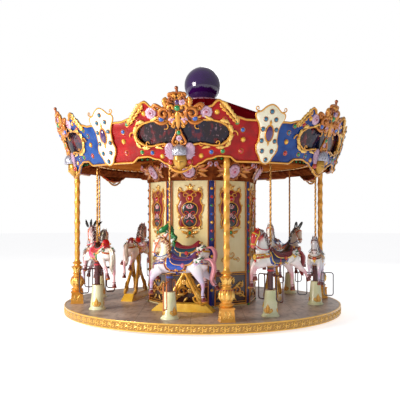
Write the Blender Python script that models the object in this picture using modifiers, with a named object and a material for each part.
"""Fairground carousel: a turning deck with eight jumping horses, four standing horses and a flared crown.

Metres, +Z up, origin on the floor at the axis of rotation. Bearings are in degrees, measured from the
front (-Y) towards +X. A horse's own frame has +X forwards, +Y outwards and its origin on the deck.
"""

import math

import bmesh
import bpy
import numpy as np
from mathutils import Matrix

GAP = 0.0003

DECK_RADIUS = 2.75
DECK_TOP = 0.20
DECK_THICKNESS = 0.08
SKIRT_THICKNESS = 0.03
SKIRT_BOTTOM = 0.037
DECK_STEPS = 72

BASE_HUB_RADIUS = 0.45
BASE_REACH = 2.42
BASE_HEIGHT = 0.08
BASE_BEAM_WIDTH = 0.16
BASE_BEAMS = 2

SOFFIT_BOTTOM = 2.95
SOFFIT_TOP = 2.99
SOFFIT_HOLE_RADIUS = 0.90
CORNICE_DROP = 0.02
CORNICE_INNER_RADIUS = 2.40
CANOPY_STEPS = 36

ROOF_EDGE_RADIUS = 2.60
ROOF_EDGE_HEIGHT = 3.37
ROOF_TOP_RADIUS = 0.36
ROOF_TOP_HEIGHT = 4.26
ROOF_DRUM_RADIUS = 2.47
ROOF_SHEET = 0.03
ROOF_NECK = 0.06

BALL_RADIUS = 0.369
BALL_CENTRE = 4.58
BALL_COLLAR_RADII = (0.34, 0.22)
BALL_COLLAR_HEIGHT = 0.07

CROWN_BEARING = -7.0
CROWN_PANELS = 6
CROWN_HALF_ANGLE = 29.995
CROWN_DATUM = 2.79
CROWN_DATUM_RADIUS = 2.58
CROWN_SLOPE = 0.30
CROWN_THICKNESS = 0.045
CROWN_TOP_EDGE = ((0, 3.60), (7, 3.57), (11.9, 3.73), (17, 3.50), (24, 3.45), (30, 3.45))
CROWN_BOTTOM_EDGE = ((0, 2.68), (4, 2.69), (15, 2.88), (24, 2.80), (30, 2.79))
CROWN_COLUMNS = 18
CROWN_ROWS = 2
WINDOW_HALF_ANGLE = 16.5
WINDOW_HEIGHTS = (3.01, 3.43)
WINDOW_DEPTH = 0.02
CHORD_ALLOWANCE = 0.0013
CREST_THICKNESS = 0.09
CREST_OUTLINE = (
    (0.0, 3.97), (0.03, 3.95), (0.035, 3.88), (0.10, 3.86), (0.20, 3.79), (0.24, 3.68), (0.34, 3.60),
    (0.34, 3.51), (0.20, 3.45), (0.08, 3.40), (0.05, 3.30), (0.10, 3.08), (0.21, 3.04), (0.20, 2.90),
    (0.10, 2.84),
)
MASK_HALF_SIZE = (0.10, 0.09, 0.12)
MASK_HEIGHT = 2.80
SHIELD_THICKNESS = 0.04
SHIELD_OUTLINE = (
    (0.0, 3.70), (0.09, 3.66), (0.25, 3.57), (0.26, 3.50), (0.17, 3.32), (0.165, 3.18), (0.20, 3.07),
    (0.19, 2.98), (0.10, 2.82), (0.0, 2.77),
)

HOUSE_BEARING = 9.0
HOUSE_SIDES = 8
HOUSE_RADIUS = 1.09
HOUSE_WALL = 0.03
HOUSE_CORNICE_HEIGHT = 2.58
HOUSE_CORNICE_REACH = 0.16

COLUMN_BEARING = 8.96
COLUMN_COUNT = 4
COLUMN_RADIUS = 2.504
COLUMN_STEPS = 10
PLINTH_WIDTHS = (0.25, 0.20)
PLINTH_HEIGHT = 0.25
COLUMN_PROFILE = (
    (0.050, 2.7297), (0.050, 0.86), (0.062, 0.80), (0.085, 0.79), (0.060, 0.75), (0.095, 0.71),
    (0.060, 0.60), (0.085, 0.57), (0.115, 0.50), (0.120, 0.42), (0.080, 0.31), (0.110, 0.28),
)

JUMPER_BEARING = -14.07
JUMPER_RADIUS = 2.264
# Each jumper is (its height over the lowest one at rest, its shift forwards along its path).
JUMPERS = (
    (0.0, -0.06), (0.09, -0.02), (0.0, -0.02), (0.06, -0.02),
    (0.05, -0.02), (0.10, -0.02), (0.02, -0.02), (0.13, -0.02),
)
TUBE_RADIUS = 0.060
TUBE_BOTTOM = 0.22
TUBE_TOP = 0.80
POLE_RADIUS = 0.020
POLE_TOP = 2.95
POLE_STEPS = 10
RUNNING_GAP = 0.0005
FOOTREST_ROD = 0.012
FOOTREST_BAR = 0.015
FOOTREST_REACH = (0.165, 0.34)
FOOTREST_HEIGHTS = (0.18, 0.62)
FOOTREST_CORNER = 0.045
CONE_HEIGHT = 0.457
CONE_RADII = (0.135, 0.090)
CONE_FLANGE = (0.155, 0.02)
CONE_BORE = (0.066, 0.155)
CONE_BUSH = 0.03

INNER_BEARING = -14.0
INNER_COUNT = 4
INNER_RADIUS = 1.43
INNER_LIFT = 0.15
INNER_SLIDE = 0.11
STAND_LENGTHS = (1.14, 0.84)
STAND_WIDTH = 0.24
STAND_HEIGHT = 0.14
STAND_BRACE = (0.03, 0.035)
STAND_SPREAD = 0.06
STAND_FEET = (0.26, -0.34)
STAND_CROSSING = 0.12

TORSO = (
    (-0.585, 0.89, 0.05, 0.05), (-0.49, 0.90, 0.125, 0.115), (-0.32, 0.885, 0.125, 0.11),
    (-0.08, 0.88, 0.125, 0.115), (0.14, 0.90, 0.125, 0.135), (0.31, 0.90, 0.07, 0.085),
)
NECK = ((0.13, 0.94, 0.095, 0.15), (0.185, 1.12, 0.065, 0.10), (0.25, 1.34, 0.042, 0.055))
HEAD = (
    (0.235, 1.36, 0.035, 0.04), (0.335, 1.29, 0.055, 0.072), (0.37, 1.18, 0.043, 0.052),
    (0.393, 1.085, 0.03, 0.03),
)
TAIL = (
    (-0.50, 0.95, 0.03, 0.03), (-0.60, 1.005, 0.04, 0.04), (-0.685, 0.93, 0.045, 0.042),
    (-0.69, 0.81, 0.045, 0.045), (-0.66, 0.66, 0.025, 0.025),
)
SADDLE = (
    (0.05, 0.93, 0.13, 0.15), (-0.07, 0.895, 0.14, 0.135), (-0.29, 0.895, 0.14, 0.135),
    (-0.42, 0.94, 0.11, 0.165),
)
SHOULDER = (0.20, 0.85, 0.055, 0.09)
HIP = (-0.42, 0.88, 0.068, 0.115)
FRONT_LEGS = (
    (0.09, (SHOULDER, (0.315, 0.71, 0.042, 0.052), (0.347, 0.63, 0.03, 0.034), (0.355, 0.42, 0.04, 0.045))),
    (-0.09, (SHOULDER, (0.395, 0.785, 0.042, 0.048), (0.42, 0.68, 0.03, 0.032), (0.41, 0.56, 0.04, 0.045))),
)
HIND_LEGS = (
    (0.10, (HIP, (-0.49, 0.69, 0.05, 0.065), (-0.535, 0.56, 0.03, 0.035), (-0.545, 0.31, 0.04, 0.045))),
    (-0.10, (HIP, (-0.56, 0.73, 0.05, 0.062), (-0.66, 0.65, 0.032, 0.036), (-0.745, 0.49, 0.04, 0.045))),
)
# Each horse section is (forwards, height, half width, half height); a leg's first value is its offset.
BODY_SIDES = 8
LIMB_SIDES = 4
SLIVER = 0.0012

COLOURS = {
    "steel": ((0.05, 0.05, 0.055), 0.5, 0.8),
    "boards": ((0.33, 0.27, 0.24), 0.55, 0.0),
    "gold": ((0.80, 0.52, 0.12), 0.35, 0.6),
    "cream": ((0.86, 0.80, 0.55), 0.4, 0.0),
    "red": ((0.62, 0.02, 0.02), 0.35, 0.0),
    "blue": ((0.03, 0.13, 0.50), 0.35, 0.0),
    "brown": ((0.16, 0.09, 0.04), 0.5, 0.0),
    "maroon": ((0.22, 0.01, 0.02), 0.35, 0.0),
    "purple": ((0.06, 0.01, 0.14), 0.12, 0.0),
    "brass": ((0.62, 0.45, 0.20), 0.3, 0.9),
    "white": ((0.85, 0.82, 0.80), 0.3, 0.0),
    "yellow": ((0.85, 0.55, 0.12), 0.4, 0.0),
}


def clear_scene():
    for obj in list(bpy.data.objects):
        bpy.data.objects.remove(obj)


def new_collection(name):
    made = bpy.data.collections.new(name)
    bpy.context.scene.collection.children.link(made)
    return made


def material(name):
    """The Principled material of one finish."""
    if name in bpy.data.materials:
        return bpy.data.materials[name]
    colour, roughness, metallic = COLOURS[name]
    made = bpy.data.materials.new(name)
    made.use_nodes = True
    shader = made.node_tree.nodes["Principled BSDF"]
    shader.inputs["Base Color"].default_value = (*colour, 1)
    shader.inputs["Roughness"].default_value = roughness
    shader.inputs["Metallic"].default_value = metallic
    return made


def add_part(name, mesh, finish, parent=None, turn=0.0):
    """An object of the carousel, with its own slot so that copies may share a mesh."""
    part = bpy.data.objects.new(name, mesh)
    PARTS.objects.link(part)
    if not mesh.materials:
        mesh.materials.append(None)
    part.material_slots[0].link = "OBJECT"
    part.material_slots[0].material = material(finish)
    part.parent = parent
    part.rotation_euler.z = math.radians(turn)
    return part


def add_helper(name, data):
    """A hidden shape that is cut away from a part or baked into one."""
    helper = bpy.data.objects.new(name, data)
    CUTTERS.objects.link(helper)
    helper.hide_render = True
    helper.display_type = "WIRE"
    return helper


def polar(radius, bearing, z):
    angle = math.radians(bearing)
    return (radius * math.sin(angle), -radius * math.cos(angle), z)


def station(name, radius, bearing):
    """An empty on the deck with +X along the direction of travel and +Y outwards."""
    empty = bpy.data.objects.new(name, None)
    PARTS.objects.link(empty)
    empty.location = polar(radius, bearing, DECK_TOP)
    empty.rotation_euler.z = math.radians(bearing + 180)
    return empty


def baked(obj, merge=1e-6):
    """The evaluated mesh of a helper, which is removed, with points nearer than `merge` joined."""
    bpy.context.view_layer.update()
    graph = bpy.context.evaluated_depsgraph_get()
    mesh = bpy.data.meshes.new_from_object(obj.evaluated_get(graph))
    cleaned = bmesh.new()
    cleaned.from_mesh(mesh)
    bmesh.ops.remove_doubles(cleaned, verts=cleaned.verts, dist=merge)
    if merge > 1e-6:
        bmesh.ops.triangulate(cleaned, faces=cleaned.faces)
        bmesh.ops.dissolve_degenerate(cleaned, edges=cleaned.edges, dist=merge)
        bmesh.ops.triangulate(cleaned, faces=cleaned.faces)
    cleaned.to_mesh(mesh)
    cleaned.free()
    mesh.transform(obj.matrix_world)
    bpy.data.objects.remove(obj)
    return mesh


def boolean(target, other, operation):
    step = target.modifiers.new(other.name, "BOOLEAN")
    step.operation = operation
    step.object = other


def fused(base, additions, cuts=(), merge=1e-6):
    """One closed mesh from overlapping helpers, all of which are used up. Its slivers merge before the cuts."""
    for other in additions:
        boolean(base, other, "UNION")
    mesh = baked(base, merge)
    if cuts:
        base = add_helper("cut", mesh)
        for other in cuts:
            boolean(base, other, "DIFFERENCE")
        mesh = baked(base)
    for other in (*additions, *cuts):
        bpy.data.objects.remove(other)
    return mesh


def profile_mesh(name, points, cyclic):
    """A chain of (radius, height) points in the XZ plane."""
    mesh = bpy.data.meshes.new(name)
    links = [(i, i + 1) for i in range(len(points) - 1)]
    if cyclic:
        links.append((len(points) - 1, 0))
    mesh.from_pydata([(r, 0, z) for r, z in points], links, [])
    return mesh


def add_screw(obj, steps):
    screw = obj.modifiers.new("Turn", "SCREW")
    screw.steps = steps
    screw.render_steps = steps
    screw.use_merge_vertices = True
    screw.merge_threshold = 0.00001


def turned(name, points, steps, cyclic=False):
    """A baked solid of revolution. The profile runs down its outer side."""
    helper = add_helper(name, profile_mesh(name, points, cyclic))
    add_screw(helper, steps)
    return baked(helper)


def swept(name, spine, sides, offset=0.0):
    """A closed limb: elliptical rings set square to a spine of (x, z, half width, half height)."""
    spine = np.array(spine, float)
    centres = np.column_stack([spine[:, 0], np.full(len(spine), offset), spine[:, 1]])
    tangents = np.gradient(centres, axis=0)
    tangents /= np.linalg.norm(tangents, axis=1)[:, None]
    side = np.array([0.0, 1.0, 0.0])
    up = np.cross(tangents, side)
    angles = np.arange(sides) * 2 * math.pi / sides
    across = np.cos(angles)[None, :, None] * side * spine[:, 2, None, None]
    along = np.sin(angles)[None, :, None] * up[:, None, :] * spine[:, 3, None, None]
    points = (centres[:, None, :] + across + along).reshape(-1, 3)
    faces = []
    for i in range(len(spine) - 1):
        for j in range(sides):
            k = (j + 1) % sides
            faces.append((i * sides + j, i * sides + k, (i + 1) * sides + k, (i + 1) * sides + j))
    faces.append(tuple(range(sides))[::-1])
    faces.append(tuple(range((len(spine) - 1) * sides, len(spine) * sides)))
    mesh = bpy.data.meshes.new(name)
    mesh.from_pydata(points.tolist(), [], faces)
    return add_helper(name, mesh)


def box(name, low, high):
    """A helper block between two corners."""
    shape = bmesh.new()
    bmesh.ops.create_cube(shape, size=1)
    low, high = np.array(low), np.array(high)
    for vert in shape.verts:
        vert.co = (low + high) / 2 + np.array(vert.co) * (high - low)
    mesh = bpy.data.meshes.new(name)
    shape.to_mesh(mesh)
    shape.free()
    return add_helper(name, mesh)


def plate(name, outline, thickness):
    """A flat mirrored outline of (half width, height), in the XZ plane, with its back face at y = 0."""
    right = list(outline)
    left = [(-x, z) for x, z in reversed(outline) if x > 0]
    curve = bpy.data.curves.new(name, "CURVE")
    curve.dimensions = "2D"
    curve.fill_mode = "BOTH"
    curve.extrude = thickness / 2
    spline = curve.splines.new("POLY")
    ring = right + left
    spline.points.add(len(ring) - 1)
    for point, (x, z) in zip(spline.points, ring):
        point.co = (x, z, 0, 1)
    spline.use_cyclic_u = True
    helper = add_helper(name, curve)
    helper.rotation_euler.x = math.pi / 2
    helper.location.y = -thickness / 2
    return add_helper(name, baked(helper))


def crown_radius(height):
    """The crown's outer face flares outwards with height."""
    return CROWN_DATUM_RADIUS + CROWN_SLOPE * (height - CROWN_DATUM)


def edge_height(edge, degrees):
    angles, heights = zip(*edge)
    return np.interp(abs(degrees), angles, heights)


def lean_to_crown(helper, clearance):
    """Bends an upright plate onto the crown's slope at bearing 0, clear of its outer face."""
    for vert in helper.data.vertices:
        vert.co.y -= crown_radius(vert.co.z) + clearance
    helper.data.update()


def arc_block(name, half_angle, columns, bottom, top, inset, outset, rows=1):
    """A curved block that follows the crown, from `inset` inside its outer face to `outset` outside it."""
    shape = bmesh.new()
    bmesh.ops.create_grid(shape, x_segments=columns, y_segments=rows, size=1)
    for vert in shape.verts:
        degrees = float(vert.co.x) * half_angle
        share = (float(vert.co.y) + 1) / 2
        height = bottom(degrees) * (1 - share) + top(degrees) * share
        vert.co = polar(crown_radius(height) + outset, degrees, height)
    bmesh.ops.recalc_face_normals(shape, faces=shape.faces)
    outer = list(shape.faces)
    made = bmesh.ops.extrude_face_region(shape, geom=outer)
    for item in made["geom"]:
        if isinstance(item, bmesh.types.BMVert):
            radius = math.hypot(item.co.x, item.co.y)
            share = (radius - inset - outset) / radius
            item.co.x *= share
            item.co.y *= share
    bmesh.ops.recalc_face_normals(shape, faces=shape.faces)
    mesh = bpy.data.meshes.new(name)
    shape.to_mesh(mesh)
    shape.free()
    return add_helper(name, mesh)


def make_base():
    """The fixed floor frame under the deck: a bearing hub on two crossing beams."""
    deck_bottom = DECK_TOP - DECK_THICKNESS
    hub = ((0, deck_bottom - GAP), (BASE_HUB_RADIUS, deck_bottom - GAP), (BASE_HUB_RADIUS, 0), (0, 0))
    base = add_helper("hub", turned("hub", hub, 24))
    half = BASE_BEAM_WIDTH / 2
    beams = []
    for i in range(BASE_BEAMS):
        beam = box(f"beam_{i}", (-BASE_REACH, -half, 0), (BASE_REACH, half, BASE_HEIGHT))
        beam.rotation_euler.z = math.pi * i / BASE_BEAMS
        beams.append(beam)
    add_part("base_frame", fused(base, beams), "steel")


def make_deck():
    """The turning disc of boards, and the pressed skirt round its edge."""
    edge = DECK_RADIUS - SKIRT_THICKNESS
    bottom = DECK_TOP - DECK_THICKNESS
    disc = ((0, DECK_TOP), (edge, DECK_TOP), (edge, bottom), (0, bottom))
    add_part("deck", turned("deck", disc, DECK_STEPS), "boards")
    inner = edge + GAP
    skirt = ((DECK_RADIUS, DECK_TOP), (DECK_RADIUS, SKIRT_BOTTOM), (inner, SKIRT_BOTTOM), (inner, DECK_TOP))
    add_part("skirt", turned("skirt", skirt, DECK_STEPS, cyclic=True), "gold")


def make_house():
    """The eight-sided centre house and the flared gold cornice at its head."""
    top = SOFFIT_BOTTOM - GAP
    bottom = DECK_TOP + GAP
    inner = HOUSE_RADIUS - HOUSE_WALL
    wall = ((HOUSE_RADIUS, top), (HOUSE_RADIUS, bottom), (inner, bottom), (inner, top))
    add_part("center_house", turned("wall", wall, HOUSE_SIDES, cyclic=True), "cream", turn=HOUSE_BEARING)
    near = HOUSE_RADIUS + 2 * GAP
    far = HOUSE_RADIUS + HOUSE_CORNICE_REACH
    rise = top - HOUSE_CORNICE_HEIGHT
    flare = [(far, top), (far, top - 0.25 * rise), (near + 0.05, top - 0.7 * rise)]
    flare += [(near + 0.03, HOUSE_CORNICE_HEIGHT), (near, HOUSE_CORNICE_HEIGHT), (near, top)]
    add_part("center_cornice", turned("flare", flare, HOUSE_SIDES, cyclic=True), "gold", turn=HOUSE_BEARING)


def make_canopy():
    """The soffit with its pole holes, the roof on its drum, and the ball."""
    clear = CROWN_THICKNESS + CHORD_ALLOWANCE
    low = SOFFIT_BOTTOM - CORNICE_DROP
    soffit = (
        (crown_radius(SOFFIT_TOP) - clear, SOFFIT_TOP), (crown_radius(low) - clear, low),
        (CORNICE_INNER_RADIUS, low), (CORNICE_INNER_RADIUS - CORNICE_DROP, SOFFIT_BOTTOM),
        (SOFFIT_HOLE_RADIUS, SOFFIT_BOTTOM), (SOFFIT_HOLE_RADIUS, SOFFIT_TOP),
    )
    sheet = add_part("soffit", turned("soffit", soffit, CANOPY_STEPS, cyclic=True), "brown")
    radius = (POLE_RADIUS + RUNNING_GAP) / math.cos(math.pi / POLE_STEPS)
    for i in range(len(JUMPERS)):
        shape = bmesh.new()
        bmesh.ops.create_cone(
            shape, cap_ends=True, segments=POLE_STEPS, radius1=radius, radius2=radius, depth=0.2
        )
        mesh = bpy.data.meshes.new("pole_hole")
        shape.to_mesh(mesh)
        shape.free()
        hole = add_helper(f"pole_hole_{i + 1}", mesh)
        hole.location = polar(JUMPER_RADIUS, JUMPER_BEARING + 45 * i, SOFFIT_TOP)
        hole.rotation_euler.z = math.radians(JUMPER_BEARING + 45 * i + 180)
        boolean(sheet, hole, "DIFFERENCE")
    under = ROOF_EDGE_HEIGHT - ROOF_SHEET
    drum_inner = ROOF_DRUM_RADIUS - ROOF_SHEET
    roof = (
        (ROOF_TOP_RADIUS - ROOF_NECK, ROOF_TOP_HEIGHT), (ROOF_TOP_RADIUS, ROOF_TOP_HEIGHT),
        (ROOF_EDGE_RADIUS, ROOF_EDGE_HEIGHT), (ROOF_EDGE_RADIUS, under), (ROOF_DRUM_RADIUS, under),
        (ROOF_DRUM_RADIUS, SOFFIT_TOP + GAP), (drum_inner, SOFFIT_TOP + GAP), (drum_inner, under),
        (ROOF_TOP_RADIUS - ROOF_NECK, ROOF_TOP_HEIGHT - 2 * ROOF_SHEET),
    )
    add_part("roof", turned("roof", roof, CANOPY_STEPS, cyclic=True), "maroon")
    wide, narrow = BALL_COLLAR_RADII
    seat = ROOF_TOP_HEIGHT + GAP
    start = math.asin(narrow / BALL_RADIUS)
    angles = np.linspace(0, math.pi - start, 9)
    ball = [(BALL_RADIUS * math.sin(a), BALL_CENTRE + BALL_RADIUS * math.cos(a)) for a in angles]
    ball[0] = (0, BALL_CENTRE + BALL_RADIUS)
    ball += [(narrow, seat + BALL_COLLAR_HEIGHT - 0.06), (wide, seat + 0.005), (wide, seat), (0, seat)]
    add_part("ball", turned("ball", ball, 16), "purple")


def make_crown():
    """Six flared panels in alternating red and blue, each with a mirror recess, a crest and a mask."""
    panel = arc_block(
        "panel", CROWN_HALF_ANGLE, CROWN_COLUMNS,
        lambda degrees: edge_height(CROWN_BOTTOM_EDGE, degrees),
        lambda degrees: edge_height(CROWN_TOP_EDGE, degrees),
        CROWN_THICKNESS, 0.0, CROWN_ROWS,
    )
    low, high = WINDOW_HEIGHTS
    middle = (low + high) / 2

    def lobe(degrees):
        """Half the window's height: full near the middle and rounded at the ends."""
        share = abs(degrees) / WINDOW_HALF_ANGLE
        return (high - low) / 2 * max(0.18, math.sqrt(max(0.0, 1 - share**4)))

    window = arc_block(
        "window", WINDOW_HALF_ANGLE, 12,
        lambda degrees: middle - lobe(degrees), lambda degrees: middle + lobe(degrees),
        WINDOW_DEPTH, 0.05,
    )
    crest = plate("crest", CREST_OUTLINE, CREST_THICKNESS)
    lean_to_crown(crest, -CROWN_THICKNESS / 2)
    shape = bmesh.new()
    bmesh.ops.create_uvsphere(shape, u_segments=8, v_segments=6, radius=1)
    for vert in shape.verts:
        vert.co = [share * half for share, half in zip(vert.co, MASK_HALF_SIZE)]
    mesh = bpy.data.meshes.new("mask")
    shape.to_mesh(mesh)
    shape.free()
    mask = add_helper("mask", mesh)
    mask.location = (0, -crown_radius(MASK_HEIGHT) - CREST_THICKNESS / 2, MASK_HEIGHT)
    boolean(panel, window, "DIFFERENCE")
    bare = add_helper("bare_panel", baked(panel))
    bpy.data.objects.remove(window)
    dressed = fused(bare, [crest, mask])
    shield = plate("shield", SHIELD_OUTLINE, SHIELD_THICKNESS)
    lean_to_crown(shield, GAP)
    shield = baked(shield)
    spacing = 360 / CROWN_PANELS
    for i in range(CROWN_PANELS):
        bearing = CROWN_BEARING + spacing * i
        finish = ("red", "blue")[i % 2]
        add_part(f"crown_panel_{i + 1}", dressed, finish, turn=bearing)
        add_part(f"crown_shield_{i + 1}", shield, "cream", turn=bearing + spacing / 2)


def make_columns():
    """Four gold columns: a tapered square plinth under a turned urn and a slender shaft."""
    profile = [(0, SOFFIT_BOTTOM - CORNICE_DROP - GAP - DECK_TOP)]
    profile += [(COLUMN_PROFILE[0][0], profile[0][1]), *COLUMN_PROFILE[1:]]
    profile += [(PLINTH_WIDTHS[1] / 2, PLINTH_HEIGHT - 0.01), (0, PLINTH_HEIGHT - 0.01)]
    shaft = add_helper("shaft", turned("shaft", profile, COLUMN_STEPS))
    shape = bmesh.new()
    root = math.sqrt(2) / 2
    bmesh.ops.create_cone(
        shape, cap_ends=True, segments=4, radius1=PLINTH_WIDTHS[0] * root,
        radius2=PLINTH_WIDTHS[1] * root * 1.1, depth=PLINTH_HEIGHT - GAP,
    )
    bmesh.ops.rotate(shape, verts=shape.verts, matrix=Matrix.Rotation(math.radians(45), 3, "Z"))
    bmesh.ops.translate(shape, verts=shape.verts, vec=(0, 0, (PLINTH_HEIGHT + GAP) / 2))
    mesh = bpy.data.meshes.new("plinth")
    shape.to_mesh(mesh)
    shape.free()
    column = fused(add_helper("plinth", mesh), [shaft])
    for i in range(COLUMN_COUNT):
        bearing = COLUMN_BEARING + 90 * i
        part = add_part(f"column_{i + 1}", column, "gold", turn=bearing)
        part.location = polar(COLUMN_RADIUS, bearing, DECK_TOP)


def horse_mesh(slide, side, bored=True):
    """A leaping horse, moved along by `slide`, its lower legs on `side`, and the pole's bore if asked."""
    def limb(spine, sides, offset=0.0):
        moved = [(x + slide, *section) for x, *section in spine]
        return swept("limb", moved, sides, side * offset)

    torso = limb(TORSO, BODY_SIDES)
    additions = [limb(spine, BODY_SIDES) for spine in (NECK, HEAD, SADDLE)]
    additions.append(limb(TAIL, LIMB_SIDES))
    additions += [limb(leg, LIMB_SIDES, offset) for offset, leg in (*FRONT_LEGS, *HIND_LEGS)]
    cuts = []
    if bored:
        bore = POLE_RADIUS + GAP
        socket = TUBE_RADIUS + GAP
        profile = ((0, 1.6), (bore, 1.6), (bore, TUBE_TOP), (socket, TUBE_TOP), (socket, 0.5), (0, 0.5))
        cuts.append(add_helper("bore", turned("bore", profile, POLE_STEPS)))
    return fused(torso, additions, cuts, SLIVER)


def pole_mesh():
    """The brass pole, the dark telescopic tube below the belly, and a hanging footrest loop each side."""
    tube_top = TUBE_TOP - GAP
    profile = (
        (0, POLE_TOP), (POLE_RADIUS, POLE_TOP), (POLE_RADIUS, tube_top), (TUBE_RADIUS, tube_top),
        (TUBE_RADIUS, TUBE_BOTTOM), (0, TUBE_BOTTOM),
    )
    pole = add_helper("pole", turned("pole", profile, POLE_STEPS))
    inner, outer = FOOTREST_REACH
    low, high = FOOTREST_HEIGHTS
    reach = inner + 0.02
    bar = box("bar", (-FOOTREST_BAR, -reach, high - FOOTREST_BAR), (FOOTREST_BAR, reach, high + FOOTREST_BAR))
    additions = [bar]
    for side in (1, -1):
        curve = bpy.data.curves.new("footrest", "CURVE")
        curve.dimensions = "3D"
        curve.bevel_depth = FOOTREST_ROD
        curve.bevel_resolution = 1
        spline = curve.splines.new("POLY")
        cut = FOOTREST_CORNER
        corners = (
            (inner, high), (outer - cut, high), (outer, high - cut), (outer, low + cut),
            (outer - cut, low), (inner + cut, low), (inner, low + cut),
        )
        spline.points.add(len(corners) - 1)
        for point, (y, z) in zip(spline.points, corners):
            point.co = (0, side * y, z, 1)
        spline.use_cyclic_u = True
        loop = baked(add_helper("footrest", curve))
        additions.append(add_helper("footrest", loop))
    return fused(pole, additions)


def make_jumpers():
    """Eight horses that rise and fall on their poles, each over a cone fixed to the deck."""
    bore, depth = CONE_BORE
    bush = TUBE_RADIUS + RUNNING_GAP
    flange, flange_height = CONE_FLANGE
    cone = (
        (0, depth), (bore, depth), (bore, CONE_HEIGHT - CONE_BUSH), (bush, CONE_HEIGHT - CONE_BUSH),
        (bush, CONE_HEIGHT), (CONE_RADII[1], CONE_HEIGHT), (CONE_RADII[0], flange_height),
        (flange, flange_height), (flange, GAP), (0, GAP),
    )
    cone = turned("cone", cone, POLE_STEPS)
    pole = pole_mesh()
    horses = {}
    for i, (lift, slide) in enumerate(JUMPERS):
        kind = (slide, (1, -1)[i % 2])
        if kind not in horses:
            horses[kind] = horse_mesh(*kind)
        place = station(f"jumper_station_{i + 1}", JUMPER_RADIUS, JUMPER_BEARING + 45 * i)
        add_part(f"horse_{i + 1}", horses[kind], "white", place).location.z = lift
        add_part(f"pole_{i + 1}", pole, "brass", place).location.z = lift
        add_part(f"cone_{i + 1}", cone, "cream", place)


def make_inner_horses():
    """Four horses fixed on two pairs of crossed braces over yellow bases."""
    horse = horse_mesh(INNER_SLIDE, 1, bored=False)
    long_half, short_half = (length / 2 for length in STAND_LENGTHS)
    base = box("stand", (-long_half, -STAND_WIDTH / 2, GAP), (long_half, STAND_WIDTH / 2, STAND_HEIGHT))
    for vert in base.data.vertices:
        if vert.co.z > STAND_HEIGHT / 2:
            vert.co.x *= short_half / long_half
            vert.co.y *= 0.8
    front, back = STAND_FEET
    middle = (front + back) / 2
    foot, top = STAND_HEIGHT - 0.03, TORSO[3][1] - 0.03 + INNER_LIFT
    braces = []
    for offset in (STAND_SPREAD, -STAND_SPREAD):
        for start, end in ((front, middle - STAND_CROSSING), (back, middle + STAND_CROSSING)):
            spine = [(start, foot, *STAND_BRACE), (end, top, *STAND_BRACE)]
            braces.append(swept("brace", spine, 6, offset))
    body = add_helper("horse_body", horse)
    body.location.z = INNER_LIFT
    stand = fused(base, braces, [body])
    for i in range(INNER_COUNT):
        place = station(f"inner_station_{i + 1}", INNER_RADIUS, INNER_BEARING + 90 * i)
        part = add_part(f"inner_horse_{i + 1}", horse, "white", place)
        part.location.z = INNER_LIFT + GAP
        add_part(f"stand_{i + 1}", stand, "yellow", place)


clear_scene()
PARTS = new_collection("fairground_carousel")
CUTTERS = new_collection("cutters")
make_base()
make_deck()
make_house()
make_canopy()
make_crown()
make_columns()
make_jumpers()
make_inner_horses()
for obj in PARTS.objects:
    if obj.type == "MESH":
        obj.data.shade_smooth()
        obj.data.set_sharp_from_angle(angle=math.radians(35))
